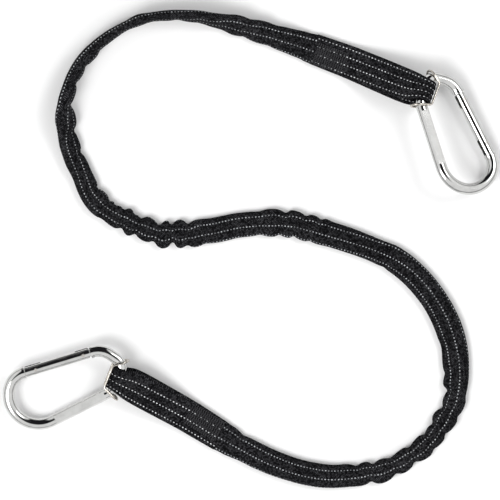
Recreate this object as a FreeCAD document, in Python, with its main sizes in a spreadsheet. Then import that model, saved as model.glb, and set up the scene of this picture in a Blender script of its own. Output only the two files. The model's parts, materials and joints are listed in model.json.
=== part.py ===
import FreeCAD, Part
import math
import os

import Sketcher
from FreeCAD import Placement, Rotation, Vector

# A shock absorbing lanyard lying flat on a surface, in millimetres.
# The origin is under the middle of the whole object, +Z is up.
# End "a" is at low x and low y, end "b" is at high x and high y.

DIMENSIONS = [
    # carabiner frame, in its own plane: u runs from the wide end to the small end, v from gate to spine
    ("bar_radius", 3.5),
    ("collar_radius", 3.8),
    ("collar_length", 1.5),
    ("spine_height", 17.2),
    ("spine_tilt", 4.82),
    ("gate_height", 17.25),
    ("gate_tilt", 5.24),
    ("wide_bend_spine", 18.0),
    ("wide_bend_gate", 13.0),
    ("hinge_bend", 13.0),
    ("tip_bend", 7.0),
    ("corner_bend", 9.0),
    ("flat_thickness", 5.4),
    # gate and what is in it
    ("gate_radius", 3.25),
    ("gate_length", 40.5),
    ("gate_gap", 0.35),
    ("slot_width", 2.5),
    ("nose_slot", 10.2),
    ("hinge_slot", 8.5),
    ("pivot_from_end", 4.2),
    ("latch_from_end", 6.5),
    ("gate_end_radius", 4.3),
    ("tang_thickness", 2.2),
    ("tang_half_height", 2.2),
    ("rivet_radius", 1.0),
    ("rivet_clearance", 0.05),
    ("latch_pin_radius", 0.9),
    ("spring_bore_radius", 1.35),
    ("spring_bore_depth", 14.0),
    ("plunger_radius", 1.15),
    ("plunger_length", 6.3),
    ("spring_wire", 0.4),
    ("spring_coil_radius", 0.95),
    ("spring_pitch", 1.0),
    # keeper wire
    ("keeper_radius", 0.7),
    ("keeper_half_gap", 4.4),
    ("keeper_bend", 2.2),
    # webbing
    ("layer_thickness", 1.6),
    ("loop_inner_radius", 4.4),
    ("loop_tip_width", 13.4),
    ("loop_width", 19.4),
    ("stitch_width", 16.0),
    ("stitch_bar", 1.3),
    ("stitch_rise", 0.4),
    ("cover_width", 16.4),
    ("cover_height", 5.0),
    ("cover_wall", 1.2),
    ("elastic_width", 10.0),
    ("elastic_height", 2.0),
]
STITCH_ROWS = 6
SPRING_TURNS = 7

doc = FreeCAD.newDocument("lanyard")
sizes = doc.addObject("Spreadsheet::Sheet", "sizes")
for row, (alias, number) in enumerate(DIMENSIONS, start=1):
    sizes.set(f"A{row}", alias)
    sizes.set(f"B{row}", str(number))
    sizes.setAlias(f"B{row}", alias)
doc.recompute()


def cell(alias):
    """The number that the sheet holds under an alias."""
    return float(sizes.get(alias))


def bind(thing, **properties):
    """Bind each named property of a document object to an expression on the sheet."""
    for name, expression in properties.items():
        thing.setExpression(name, expression)


def aimed(origin, x_axis, z_axis):
    """A placement whose local X and Z axes point along two square directions."""
    y_axis = z_axis.cross(x_axis)
    return Placement(origin, Rotation(x_axis, y_axis, z_axis, "ZXY"))


def heading(degrees):
    """A unit vector in the XY plane."""
    return Vector(math.cos(math.radians(degrees)), math.sin(math.radians(degrees)), 0)


def meet(point_1, direction_1, point_2, direction_2):
    """Where two lines of the XY plane cross."""
    cross = direction_1.x * direction_2.y - direction_1.y * direction_2.x
    gap = point_2 - point_1
    along = (gap.x * direction_2.y - gap.y * direction_2.x) / cross
    return point_1 + direction_1 * along


# ---------------------------------------------------------------- round bars and wires
def bar_run(name, start, end, radius):
    """A straight piece of round bar whose radius is bound to the sheet."""
    run = doc.addObject("Part::Cylinder", name)
    bind(run, Radius=f"sizes.{radius}")
    run.Height = (end - start).Length
    run.Placement = Placement(start, Rotation(Vector(0, 0, 1), end - start))
    return run


def bar_bend(name, centre, start, axis, angle, radius):
    """A bent piece of round bar, turning about an axis from its start point."""
    bend = doc.addObject("Part::Torus", name)
    bend.Radius1 = (start - centre).Length
    bind(bend, Radius2=f"sizes.{radius}")
    bend.Angle3 = angle
    bend.Placement = aimed(centre, (start - centre).normalize(), axis)
    return bend


def rounded_corner(before, corner, after, bend_radius):
    """The start, end, centre and turn of the arc that rounds a corner."""
    inward = (before - corner).normalize()
    outward = (after - corner).normalize()
    turn = math.pi - inward.getAngle(outward)
    reach = bend_radius * math.tan(turn / 2)
    start = corner + inward * reach
    end = corner + outward * reach
    bisector = (inward + outward).normalize()
    centre = corner + bisector * (bend_radius / math.cos(turn / 2))
    return start, end, centre, turn


def fused(name, pieces):
    """One solid of several touching pieces."""
    union = doc.addObject("Part::MultiFuse", name)
    union.Shapes = pieces
    union.Refine = True
    return union


# ---------------------------------------------------------------- carabiner, in its own plane
spine_start = Vector(15.6, cell("spine_height"), 0)
spine_way = heading(-cell("spine_tilt"))
gate_start = Vector(19.6, -cell("gate_height") + 0.1, 0)
gate_way = heading(cell("gate_tilt"))
pivot = gate_start + gate_way * (cell("gate_length") - cell("pivot_from_end"))
latch = gate_start + gate_way * cell("latch_from_end")
hinge_shoulder = gate_start + gate_way * (cell("gate_length") + cell("gate_gap"))
nose_shoulder = gate_start - gate_way * cell("gate_gap")

# the small end: from the gate over a sloping run to the straight bar that the webbing hangs on
slope_start = Vector(72.8, -4.4, 0)
tip_corner = slope_start + heading(57) * 6.25
spine_corner = Vector(63.5, 0, 0)
spine_corner = meet(spine_start, spine_way, spine_corner, heading(90))
hinge_corner = meet(gate_start, gate_way, slope_start, heading(57))

# the straight part of the webbing bar, between the tip bend and the corner bend
tip_arc = rounded_corner(hinge_corner, tip_corner, spine_corner, cell("tip_bend"))
corner_arc = rounded_corner(tip_corner, spine_corner, spine_start, cell("corner_bend"))
hinge_arc = rounded_corner(gate_start, hinge_corner, tip_corner, cell("hinge_bend"))
webbing_bar = (tip_arc[1] + corner_arc[0]) / 2
bar_way = (tip_corner - spine_corner).normalize()
outward_way = Vector(-bar_way.y, bar_way.x, 0)
if outward_way.x < 0:
    outward_way = -outward_way

# the wide end: two arcs, the one at the gate tighter than the one at the spine
broad = cell("wide_bend_spine")
tight = cell("wide_bend_gate")
spine_normal = Vector(-spine_way.y, spine_way.x, 0)
broad_centre = Vector(cell("bar_radius") + broad, 0, 0)
spine_over = meet(spine_start, spine_way, broad_centre, Vector(0, 1, 0))
broad_centre.y = spine_over.y - broad / spine_normal.y
gate_normal = Vector(gate_way.y, -gate_way.x, 0)
tight_line = gate_start - gate_normal * tight
to_centre = tight_line - broad_centre
along_gate = to_centre.dot(gate_way)
off_gate = math.sqrt((broad - tight) ** 2 - (to_centre - gate_way * along_gate).Length ** 2)
tight_centre = tight_line - gate_way * (along_gate + off_gate)
arcs_meet = tight_centre + (tight_centre - broad_centre).normalize() * tight
bend_starts = tight_centre + gate_normal * tight
spine_begins = broad_centre + spine_normal * broad
wide_end = broad_centre - Vector(broad, 0, 0)


def arc_edge(start, end, centre):
    """The edge of the shorter arc from start to end."""
    middle = ((start + end) / 2 - centre).normalize()
    return Part.Arc(start, centre + middle * (start - centre).Length, end).toShape()


def line_edge(start, end):
    """A straight edge."""
    return Part.LineSegment(start, end).toShape()


def bent_bar(end):
    """The round bar bent to the carabiner's outline, from the nose round to the hinge."""
    path = doc.addObject("Part::Feature", f"bar_path_{end}")
    path.Shape = Part.Wire([
        line_edge(nose_shoulder, bend_starts),
        arc_edge(bend_starts, arcs_meet, tight_centre),
        arc_edge(arcs_meet, wide_end, broad_centre),
        arc_edge(wide_end, spine_begins, broad_centre),
        line_edge(spine_begins, corner_arc[1]),
        arc_edge(corner_arc[1], corner_arc[0], corner_arc[2]),
        line_edge(corner_arc[0], tip_arc[1]),
        arc_edge(tip_arc[1], tip_arc[0], tip_arc[2]),
        line_edge(tip_arc[0], hinge_arc[1]),
        arc_edge(hinge_arc[1], hinge_arc[0], hinge_arc[2]),
        line_edge(hinge_arc[0], hinge_shoulder),
    ])
    section = doc.addObject("Part::Circle", f"bar_section_{end}")
    bind(section, Radius="sizes.bar_radius")
    section.Placement = Placement(nose_shoulder, Rotation(Vector(0, 0, 1), -gate_way))
    sweep = doc.addObject("Part::Sweep", f"bent_bar_{end}")
    sweep.Sections = [section]
    sweep.Spine = (path, [f"Edge{number}" for number in range(1, len(path.Shape.Edges) + 1)])
    sweep.Solid = True
    return sweep


def carabiner_frame(end, placement):
    """The bent bar with its collars, its nose and hinge tangs and its flattened spine."""
    bar = bent_bar(end)
    collars = []
    for label, shoulder, way in (("nose_collar", nose_shoulder, -gate_way),
                                 ("hinge_collar", hinge_shoulder, gate_way)):
        collar = bar_run(f"{label}_{end}", shoulder, shoulder + way * cell("collar_length"), "collar_radius")
        collars.append(collar)

    # two mill cuts leave the spine flat above and below
    length = (corner_arc[1] - spine_begins).Length - 4
    cutters = []
    for side in (-1, 1):
        cutter = doc.addObject("Part::Box", f"mill_{'under' if side < 0 else 'over'}_{end}")
        cutter.Length = length
        bind(cutter, Width="4 * sizes.bar_radius", Height="2 * sizes.bar_radius")
        low = cell("flat_thickness") / 2 if side > 0 else -cell("flat_thickness") / 2 - 2 * cell("bar_radius")
        corner = spine_begins + spine_way * 2 - spine_normal * (2 * cell("bar_radius")) + Vector(0, 0, low)
        cutter.Placement = aimed(corner, spine_way, Vector(0, 0, 1))
        cutters.append(cutter)

    def tang(label, shoulder, way, reach):
        """A flat tongue that stands out of a shoulder, into the gate's slot."""
        plate = doc.addObject("Part::Box", f"{label}_{end}")
        root = 2.0
        plate.Length = reach + root
        bind(plate, Width="2 * sizes.tang_half_height", Height="sizes.tang_thickness")
        side = Vector(0, 0, 1).cross(way)
        low = Vector(0, 0, -cell("tang_thickness") / 2)
        plate.Placement = aimed(shoulder - way * root - side * cell("tang_half_height") + low,
                                way, Vector(0, 0, 1))
        return plate

    nose_reach = cell("latch_from_end") + cell("gate_gap") + 2.5
    hinge_reach = cell("pivot_from_end") + cell("gate_gap") + 3.0
    nose = tang("nose", nose_shoulder, gate_way, nose_reach)
    hinge = tang("hinge_tang", hinge_shoulder, -gate_way, hinge_reach)
    blank = fused(f"frame_blank_{end}", [bar, *collars, nose, hinge])

    # the latch pin's notch opens towards the spine, so the gate can swing in but not stretch open
    notch = doc.addObject("Part::Box", f"notch_{end}")
    half_notch = cell("latch_pin_radius") + 0.15
    notch.Length = 2 * half_notch
    notch.Width = 2 * cell("tang_half_height")
    notch.Height = 2 * cell("tang_thickness")
    inward = Vector(-gate_way.y, gate_way.x, 0)
    notch_low = latch - gate_way * half_notch - inward * half_notch - Vector(0, 0, cell("tang_thickness"))
    notch.Placement = aimed(notch_low, gate_way, Vector(0, 0, 1))

    rivet_hole = doc.addObject("Part::Cylinder", f"rivet_hole_{end}")
    bind(rivet_hole, Radius="sizes.rivet_radius + sizes.rivet_clearance", Height="4 * sizes.tang_thickness")
    rivet_hole.Placement = Placement(pivot - Vector(0, 0, 2 * cell("tang_thickness")), Rotation())

    cuts = fused(f"frame_cuts_{end}", cutters + [notch, rivet_hole])
    frame = doc.addObject("Part::Cut", f"carabiner_frame_{end}")
    frame.Base = blank
    frame.Tool = cuts
    frame.Placement = placement
    return frame


# ---------------------------------------------------------------- gate and what is in it
def plane_of(body, role):
    """One of a body's own origin planes."""
    return next(item for item in body.Origin.OriginFeatures if item.Role == role)


def sketch_on(body, name, role):
    """An empty sketch on one of a body's origin planes."""
    sketch = body.newObject("Sketcher::SketchObject", name)
    sketch.AttachmentSupport = [(plane_of(body, role), "")]
    sketch.MapMode = "FlatFace"
    return sketch


def add_circle(sketch, centre, radius_expression, x_expression=None):
    """A circle bound to the sheet, on the sketch's X axis."""
    index = sketch.addGeometry(Part.Circle(centre, Vector(0, 0, 1), 1.0), False)
    radius = sketch.addConstraint(Sketcher.Constraint("Radius", index, 1.0))
    sketch.setExpression(f"Constraints[{radius}]", radius_expression)
    if x_expression is None:
        sketch.addConstraint(Sketcher.Constraint("Coincident", index, 3, -1, 1))
        return
    sketch.addConstraint(Sketcher.Constraint("PointOnObject", index, 3, -1))
    place = sketch.addConstraint(Sketcher.Constraint("DistanceX", -1, 1, index, 3, centre.x))
    sketch.setExpression(f"Constraints[{place}]", x_expression)


def add_rectangle(sketch, low, high):
    """A rectangle of four joined lines, square to the sketch."""
    corners = [Vector(low[0], low[1], 0), Vector(high[0], low[1], 0),
               Vector(high[0], high[1], 0), Vector(low[0], high[1], 0)]
    lines = [sketch.addGeometry(Part.LineSegment(corners[n], corners[(n + 1) % 4]), False)
             for n in range(4)]
    for n in range(4):
        sketch.addConstraint(Sketcher.Constraint("Coincident", lines[n], 2, lines[(n + 1) % 4], 1))
        square = "Horizontal" if n % 2 == 0 else "Vertical"
        sketch.addConstraint(Sketcher.Constraint(square, lines[n]))


def gate_tube(end, placement):
    """The gate: a round bar with a slot at each end, a spring bore and two cross holes."""
    body = doc.addObject("PartDesign::Body", f"gate_{end}")
    section = sketch_on(body, f"gate_section_{end}", "YZ_Plane")
    add_circle(section, Vector(0, 0, 0), "sizes.gate_radius")
    pad = body.newObject("PartDesign::Pad", f"gate_bar_{end}")
    pad.Profile = section
    bind(pad, Length="sizes.gate_length")
    doc.recompute()

    length = cell("gate_length")
    half_slot = cell("slot_width") / 2
    overrun = 1.0
    slots = sketch_on(body, f"gate_slots_{end}", "XZ_Plane")
    add_rectangle(slots, (-overrun, -half_slot), (cell("nose_slot"), half_slot))
    add_rectangle(slots, (length - cell("hinge_slot"), -half_slot), (length + overrun, half_slot))
    slot_cut = body.newObject("PartDesign::Pocket", f"gate_slot_cut_{end}")
    slot_cut.Profile = slots
    slot_cut.Type = "ThroughAll"
    slot_cut.Midplane = True

    bore_sketch = sketch_on(body, f"spring_bore_sketch_{end}", "YZ_Plane")
    add_circle(bore_sketch, Vector(0, 0, 0), "sizes.spring_bore_radius")
    bind(bore_sketch, **{".AttachmentOffset.Base.z": "sizes.gate_length - sizes.hinge_slot + 0.5"})
    bore = body.newObject("PartDesign::Pocket", f"spring_bore_{end}")
    bore.Profile = bore_sketch
    bind(bore, Length="sizes.spring_bore_depth + 0.5")

    holes = sketch_on(body, f"cross_holes_sketch_{end}", "XY_Plane")
    add_circle(holes, Vector(cell("latch_from_end"), 0, 0), "sizes.latch_pin_radius", "sizes.latch_from_end")
    add_circle(holes, Vector(length - 4, 0, 0), "sizes.rivet_radius",
               "sizes.gate_length - sizes.pivot_from_end")
    cross = body.newObject("PartDesign::Pocket", f"cross_holes_{end}")
    cross.Profile = holes
    cross.Type = "ThroughAll"
    cross.Midplane = True

    # the hinge end is rounded about the rivet, so that it turns clear of the shoulder
    rounding = sketch_on(body, f"hinge_round_sketch_{end}", "XY_Plane")
    centre = Vector(length - cell("pivot_from_end"), 0, 0)
    reach = cell("gate_radius") + overrun
    arc_x = math.sqrt(cell("gate_end_radius") ** 2 - cell("gate_radius") ** 2) * 0.6
    edge = math.sqrt(cell("gate_end_radius") ** 2 - arc_x ** 2)
    top = Vector(centre.x + arc_x, edge, 0)
    bottom = Vector(centre.x + arc_x, -edge, 0)
    outer_x = length + overrun
    arc = Part.Arc(bottom, Vector(centre.x + cell("gate_end_radius"), 0, 0), top)
    path = [top, Vector(top.x, reach + edge, 0), Vector(outer_x, reach + edge, 0),
            Vector(outer_x, -reach - edge, 0), Vector(bottom.x, -reach - edge, 0), bottom]
    rounding.addGeometry(arc, False)
    for start, stop in zip(path, path[1:]):
        rounding.addGeometry(Part.LineSegment(start, stop), False)
    for n in range(1, len(path) - 1):
        rounding.addConstraint(Sketcher.Constraint("Coincident", n, 2, n + 1, 1))
    rounding.addConstraint(Sketcher.Constraint("Coincident", 0, 2, 1, 1))
    rounding.addConstraint(Sketcher.Constraint("Coincident", len(path) - 1, 2, 0, 1))
    end_cut = body.newObject("PartDesign::Pocket", f"hinge_round_{end}")
    end_cut.Profile = rounding
    end_cut.Type = "ThroughAll"
    end_cut.Midplane = True
    body.Placement = placement
    return body


def headed_pin(name, radius_alias, placement):
    """A pin pressed through the gate, its ends flush with the gate's round surface."""
    pin = doc.addObject("Part::Cylinder", f"{name}_shank")
    bind(pin, Radius=f"sizes.{radius_alias}", Height="2 * sizes.gate_radius + 1")
    pin.Placement = Placement(Vector(0, 0, -cell("gate_radius") - 0.5), Rotation())
    dome = doc.addObject("Part::Cylinder", f"{name}_round")
    bind(dome, Radius="sizes.gate_radius + 0.15", Height="4 * sizes.gate_radius")
    dome.Placement = Placement(Vector(-2 * cell("gate_radius"), 0, 0), Rotation(Vector(0, 1, 0), 90))
    trimmed = doc.addObject("Part::Common", name)
    trimmed.Base = pin
    trimmed.Tool = dome
    trimmed.Placement = placement
    return trimmed


def plunger(end, placement):
    """The push rod between the spring and the hinge tang, with a chamfered tip."""
    rod = doc.addObject("Part::Cylinder", f"plunger_rod_{end}")
    bind(rod, Radius="sizes.plunger_radius", Height="sizes.plunger_length")
    rod.Placement = Placement(Vector(0, 0, 0), Rotation(Vector(0, 1, 0), -90))
    doc.recompute()
    softened = doc.addObject("Part::Chamfer", f"plunger_{end}")
    softened.Base = rod
    tip_edge = 0.25
    softened.Edges = [(1, tip_edge, tip_edge), (3, tip_edge, tip_edge)]
    softened.Placement = placement
    return softened


def gate_spring(end, placement):
    """The coil spring behind the plunger."""
    body = doc.addObject("PartDesign::Body", f"gate_spring_{end}")
    wire = sketch_on(body, f"spring_wire_{end}", "XZ_Plane")
    add_circle(wire, Vector(cell("spring_coil_radius"), 0, 0), "sizes.spring_wire / 2",
               "sizes.spring_coil_radius")
    coil = body.newObject("PartDesign::AdditiveHelix", f"spring_coil_{end}")
    coil.Profile = wire
    coil.ReferenceAxis = (wire, ["V_Axis"])
    coil.Mode = 0
    bind(coil, Pitch="sizes.spring_pitch")
    coil.Height = cell("spring_pitch") * SPRING_TURNS
    coil.Angle = 0
    body.Placement = placement
    return body


# ---------------------------------------------------------------- keeper wire
def keeper_wire(end, placement):
    """A closed wire: two equal strands over and under the webbing, joined by a U-turn at each end."""
    half = cell("keeper_half_gap")
    bend = cell("keeper_bend")
    # out is along the webbing, across is along the webbing bar, towards the gate
    gate_turn = Vector(-2.1, 10.3, 0)
    gate_corner = Vector(-6.1, 7.2, 0)
    spine_corner_point = Vector(-5.6, -7.4, 0)
    spine_turn = Vector(0.6, -9.9, 0)
    points = [gate_turn, gate_corner, spine_corner_point, spine_turn]
    pieces = []
    for level, side in ((half, "over"), (-half, "under")):
        lift = Vector(0, 0, level)
        first = rounded_corner(points[0], points[1], points[2], bend)
        second = rounded_corner(points[1], points[2], points[3], bend)
        runs = [(points[0], first[0]), (first[1], second[0]), (second[1], points[3])]
        for n, (start, stop) in enumerate(runs):
            pieces.append(bar_run(f"keeper_{side}_{n}_{end}", start + lift, stop + lift, "keeper_radius"))
        for n, (start, stop, centre, turn) in enumerate((first, second)):
            axis = (start - centre).cross(stop - centre).normalize()
            pieces.append(bar_bend(f"keeper_{side}_bend_{n}_{end}", centre + lift, start + lift, axis,
                                   math.degrees(turn), "keeper_radius"))
    for n, (turn_at, come_from) in enumerate(((points[0], points[1]), (points[3], points[2]))):
        way = (turn_at - come_from).normalize()
        axis = Vector(0, 0, 1).cross(way)
        pieces.append(bar_bend(f"keeper_turn_{n}_{end}", turn_at, turn_at + Vector(0, 0, half), axis,
                               180, "keeper_radius"))
    keeper = fused(f"keeper_wire_{end}", pieces)
    keeper.Placement = placement
    return keeper


# ---------------------------------------------------------------- webbing
def strap_section(width, height, placement):
    """A flat band's section, round at both edges, as a wire."""
    radius = height / 2
    flat = width / 2 - radius
    left = Vector(-flat, 0, 0)
    right = Vector(flat, 0, 0)
    over = Vector(0, radius, 0)
    out = Vector(radius, 0, 0)
    wire = Part.Wire([
        Part.LineSegment(left - over, right - over).toShape(),
        Part.Arc(right - over, right + out, right + over).toShape(),
        Part.LineSegment(right + over, left + over).toShape(),
        Part.Arc(left + over, left - out, left - over).toShape(),
    ])
    wire.Placement = placement
    return wire


def rounded_path(points):
    """A wire of straight runs joined by tangent arcs, each as large as its two runs allow."""
    edges = []
    radii = []
    last = points[0]
    for before, corner, after in zip(points, points[1:], points[2:]):
        shorter = min((corner - before).Length, (after - corner).Length)
        turn = (corner - before).getAngle(after - corner)
        radius = 0.45 * shorter / math.tan(turn / 2)
        start, end, centre, _ = rounded_corner(before, corner, after, radius)
        middle = centre + (corner - centre).normalize() * radius
        edges.append(Part.LineSegment(last, start).toShape())
        edges.append(Part.Arc(start, middle, end).toShape())
        radii.append(radius)
        last = end
    edges.append(Part.LineSegment(last, points[-1]).toShape())
    return Part.Wire(edges), radii


def band_frame(place, way, roll):
    """Where a band's section stands: local X across the band, Y through it, turned by roll."""
    across = Vector(0, 0, 1).cross(way).normalize()
    tilted = Rotation(way, roll).multVec(across)
    return aimed(place, tilted, way.normalize())


# the webbing's route, from the end of sewn block a to the end of sewn block b: x, y and height.
# It lies flat, except round the bend at low x, where it climbs onto its edge and leans back down.
FLAT = cell("cover_height") / 2
EDGE = cell("cover_width") / 2
ROUTE_A = [(-19.2, -111.0, FLAT), (-3.3, -119.9, FLAT), (12.3, -127.4, FLAT), (28.7, -133.0, FLAT),
           (45.5, -136.0, FLAT), (61.0, -134.6, FLAT), (74.5, -132.0, FLAT), (87.5, -128.6, FLAT),
           (98.6, -121.6, FLAT), (108.4, -113.0, FLAT), (115.3, -101.8, FLAT), (121.4, -89.8, FLAT),
           (123.3, -75.0, FLAT), (122.6, -59.2, FLAT), (117.9, -43.2, FLAT), (108.2, -26.6, FLAT),
           (95.1, -12.4, FLAT), (79.6, -2.4, FLAT), (71.6, 1.0, FLAT)]
ROUTE_MIDDLE = [(71.6, 1.0, FLAT), (63.6, 4.4, FLAT), (34.8, 13.3, FLAT), (21.0, 16.5, FLAT),
                (-5.6, 15.4, FLAT), (-18.3, 12.2, FLAT), (-31.5, 9.7, FLAT), (-44.0, 9.65, FLAT)]
ROUTE_B = [(-44.0, 9.65, FLAT), (-56.5, 9.6, FLAT), (-68.5, 14.2, FLAT), (-80.2, 19.4, FLAT),
           (-90.4, 26.2, FLAT), (-98.0, 36.4, FLAT), (-102.4, 49.4, FLAT), (-107.0, 61.0, FLAT),
           (-110.4, 73.4, 5.0), (-112.2, 86.6, EDGE), (-109.4, 99.8, EDGE), (-103.2, 111.8, EDGE),
           (-94.2, 121.6, EDGE), (-83.0, 130.2, EDGE), (-70.4, 137.0, EDGE), (-56.0, 140.7, EDGE),
           (-40.0, 141.1, EDGE), (-23.4, 138.4, EDGE), (-6.0, 134.2, 6.9), (10.0, 129.8, 5.2),
           (25.0, 125.0, 3.5), (39.3, 120.3, FLAT)]
# the webbing turns a quarter between the arcs at these points of route b
CLIMB = (6, 9)
LEAN_BACK = (16, 21)
QUARTER = 90


def vectors(points):
    """Route points as vectors."""
    return [Vector(*point) for point in points]


def check_volume(label, solid, expected, radii):
    """Compare a swept solid with its section times its length, and show its bends."""
    print(f"{label}: volume {solid.Volume / expected:.4f} of expected, smallest radius {min(radii):.1f}")
    print("  radii", " ".join(f"{radius:.0f}" for radius in radii))


def piped(edges, roll, width, height):
    """One plain band along some edges of a path."""
    start = edges[0].firstVertex().Point
    way = edges[0].tangentAt(edges[0].FirstParameter)
    face = Part.Face(strap_section(width, height, band_frame(start, way, roll)))
    return Part.Wire(edges).makePipe(face)


def turning(edges, roll_from, roll_to, width, height):
    """A band that turns about its path, as a ruled loft through a section at each station."""
    total = sum(edge.Length for edge in edges)
    done = 0.0
    sections = []
    for edge in edges:
        stations = (0.0, 0.5) if isinstance(edge.Curve, Part.Circle) else (0.0,)
        for share in stations:
            at = edge.FirstParameter + share * (edge.LastParameter - edge.FirstParameter)
            part = (done + share * edge.Length) / total
            sections.append((edge.valueAt(at), edge.tangentAt(at), part))
        done += edge.Length
    last = edges[-1]
    sections.append((last.valueAt(last.LastParameter), last.tangentAt(last.LastParameter), 1.0))
    wires = []
    for place, way, part in sections:
        eased = part * part * (3 - 2 * part)
        roll = roll_from + (roll_to - roll_from) * eased
        # the band's lower edge keeps to the ground as it turns
        place.z = FLAT + (EDGE - FLAT) * math.sin(math.radians(roll))
        way.z = 0
        wires.append(strap_section(width, height, band_frame(place, way, roll)))
    return Part.makeLoft(wires, True, True)


def band(label, points, width, height, hollow_width=0, hollow_height=0, turns=()):
    """A band along a rounded path, hollow if asked; turns are (first, last, roll from, roll to)."""
    path, radii = rounded_path(points)
    edges = path.Edges

    def solid_of(wide, high):
        """The band's outer or inner shape."""
        pieces = []
        at = 0
        roll = 0
        for first, last, roll_from, roll_to in turns:
            begins = 2 * first
            ends = min(2 * last, len(edges))
            pieces.append(piped(edges[at:begins], roll, wide, high))
            pieces.append(turning(edges[begins:ends], roll_from, roll_to, wide, high))
            at = ends
            roll = roll_to
        if at < len(edges):
            pieces.append(piped(edges[at:], roll, wide, high))
        return pieces[0].fuse(pieces[1:]).removeSplitter() if len(pieces) > 1 else pieces[0]

    solid = solid_of(width, height)
    area = Part.Face(strap_section(width, height, Placement())).Area
    if hollow_width:
        solid = solid.cut(solid_of(hollow_width, hollow_height))
        area -= Part.Face(strap_section(hollow_width, hollow_height, Placement())).Area
    check_volume(label, solid, area * path.Length, radii)
    return solid


def webbing_feature(name, shape):
    """A document object for a band that only Part's own functions can make."""
    feature = doc.addObject("Part::Feature", name)
    feature.Shape = shape
    feature.Placement = Placement()
    return feature


def end_loop(bar_centre, bar_direction, block_start, block_end, cover_way):
    """The webbing folded round the carabiner's bar, both layers down to the sewn block's end."""
    layer = cell("layer_thickness")
    mid_radius = cell("loop_inner_radius") + layer / 2
    out = block_start + Vector(0, 0, layer) - bar_centre
    out = (out - bar_direction * out.dot(bar_direction)).normalize()
    up = out.cross(bar_direction)
    if up.z < 0:
        up = -up
    across = up.cross(out)
    tip_half = cell("loop_tip_width") / 2
    full_half = cell("loop_width") / 2

    def rectangle(centre, side, rise, half_width):
        """A layer's section as a wire, side across the webbing and rise through it."""
        half = layer / 2
        corners = [centre + side * (sx * half_width) + rise * (sy * half)
                   for sx, sy in ((-1, -1), (1, -1), (1, 1), (-1, 1), (-1, -1))]
        return Part.makePolygon(corners)

    fold_start = rectangle(bar_centre + up * mid_radius, across, up, tip_half)
    fold = Part.Face(fold_start).revolve(bar_centre, across, -180 if across.cross(up).dot(out) > 0 else 180)
    sewn_way = (block_end - block_start).normalize()
    flat_side = Vector(0, 0, 1).cross(sewn_way)
    same_side = flat_side if flat_side.dot(across) > 0 else -flat_side
    last_side = Vector(0, 0, 1).cross(cover_way).normalize()
    last_side = last_side if last_side.dot(across) > 0 else -last_side
    solid = fold
    for sign in (1, -1):
        rest = Vector(0, 0, layer / 2 + (layer if sign > 0 else 0))
        sections = [
            rectangle(bar_centre + up * (sign * mid_radius), across, up, tip_half),
            rectangle(bar_centre + up * (sign * mid_radius) + out * 3.0, across, up, tip_half + 0.5),
            rectangle(bar_centre + up * (sign * (mid_radius - 1.6)) + out * 9.5, across, up, full_half),
            rectangle(block_start + rest, same_side, Vector(0, 0, 1), full_half),
            rectangle(block_end + rest, last_side, Vector(0, 0, 1), full_half - 0.4),
        ]
        solid = solid.fuse(Part.makeLoft(sections, True, True))
    return solid.removeSplitter(), sewn_way, flat_side


def stitch_bars(block_start, block_end, sewn_way, flat_side):
    """The rows of thread that go through both layers, as separate solids."""
    length = (block_end - block_start).Length
    rows = []
    height = 2 * cell("layer_thickness") + cell("stitch_rise")
    for row in range(STITCH_ROWS):
        place = block_start + sewn_way * (length * (row + 0.5) / STITCH_ROWS)
        corner = place - sewn_way * (cell("stitch_bar") / 2) - flat_side * (cell("stitch_width") / 2)
        bar = Part.makeBox(cell("stitch_bar"), cell("stitch_width"), height)
        bar.Placement = aimed(corner, sewn_way, Vector(0, 0, 1))
        rows.append(bar)
    return rows


# ---------------------------------------------------------------- where each end lies
class End:
    """One end of the lanyard: where its webbing bar is, and how its carabiner lies."""

    def __init__(self, name, bar_x, bar_y, axis_angle, face, roll, pitch, block_start, block_end):
        self.name = name
        self.block_start = Vector(*block_start, 0)
        self.block_end = Vector(*block_end, 0)
        along = heading(axis_angle)
        normal = Vector(0, 0, face)
        flat = aimed(Vector(), along, normal)
        side = Vector(0, 0, 1).cross(along)
        rolled = Placement(Vector(), Rotation(along, roll)).multiply(flat)
        turned = Placement(Vector(), Rotation(side, -pitch)).multiply(rolled)
        wide_arc = [broad_centre + heading(angle) * broad for angle in range(85, 216, 10)]
        outline = [pivot, latch, bend_starts, spine_begins, corner_arc[1], tip_arc[0], *wide_arc]
        lowest = min(turned.multVec(point).z for point in outline)
        raised = turned.multVec(webbing_bar).z - lowest + cell("collar_radius") + 0.05
        place = Vector(bar_x, bar_y, raised)
        shift = place - turned.multVec(webbing_bar)
        self.placement = Placement(shift, turned.Rotation)
        self.bar_centre = place
        self.bar_direction = turned.Rotation.multVec(bar_way)


ENDS = [
    End("a", -79.7, -77.4, 22.0, -1, 10.0, 3.4, (-38.7, -99.0), (-19.2, -111.0)),
    End("b", 103.9, 95.0, 112.2, 1, 26.0, 0.0, (59.7, 112.8), (39.3, 120.3)),
]

gate_place = aimed(gate_start, gate_way, Vector(0, 0, 1))
pivot_x = cell("gate_length") - cell("pivot_from_end")
slot_floor_x = cell("gate_length") - cell("hinge_slot")
tang_end_x = pivot_x - 3.0
plunger_tip_x = tang_end_x - 0.15
spring_end_x = slot_floor_x - cell("spring_bore_depth") + 0.3

# the keeper's own frame: X out along the webbing, Y along the webbing bar towards the gate
keeper_place = aimed(webbing_bar, outward_way, outward_way.cross(bar_way))

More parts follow.
